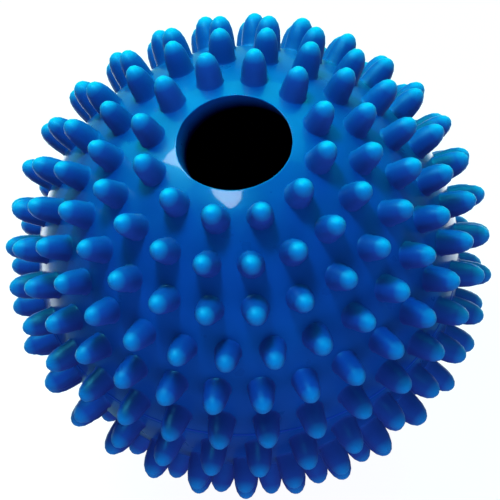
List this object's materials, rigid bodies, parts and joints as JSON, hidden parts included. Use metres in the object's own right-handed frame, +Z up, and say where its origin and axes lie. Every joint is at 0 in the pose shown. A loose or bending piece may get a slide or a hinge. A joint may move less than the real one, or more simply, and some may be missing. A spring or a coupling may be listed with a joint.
{
  "type": "massage ball",
  "caption": "Hollow blue soft-vinyl massage ball with rows of round-ended nubs all over, a welded seam round its middle and one round hole at the top.",
  "frame": {"origin": "On the plane of the six lowest nub tips, which the ball stands on, straight below the hole.", "axes": "+Z runs up the hole's axis and out of the hole. +X and +Y are level, and the rows of nubs run round +Z."},
  "size_m": [0.0894, 0.0894, 0.0855],
  "materials": {
    "shell_vinyl": "glossy deep blue soft vinyl, a little wavy from the mould",
    "nub_vinyl": "satin deep blue soft vinyl, rubbed lighter on the tips",
    "weld_vinyl": "glossy deep blue vinyl flash along the weld"
  },
  "bodies": {
    "root": {"upper_shell": "shell_vinyl", "lower_shell": "shell_vinyl", "weld_bead": "weld_vinyl", "upper_nub_row_1": "nub_vinyl", "upper_nub_row_2": "nub_vinyl", "upper_nub_row_3": "nub_vinyl", "upper_nub_row_4": "nub_vinyl", "upper_nub_row_5": "nub_vinyl", "upper_nub_row_6": "nub_vinyl", "lower_nub_row_6": "nub_vinyl", "lower_nub_row_5": "nub_vinyl", "lower_nub_row_4": "nub_vinyl", "lower_nub_row_3": "nub_vinyl", "lower_nub_row_2": "nub_vinyl", "lower_nub_row_1": "nub_vinyl", "base_nub_ring": "nub_vinyl"}
  },
  "joints": []
}
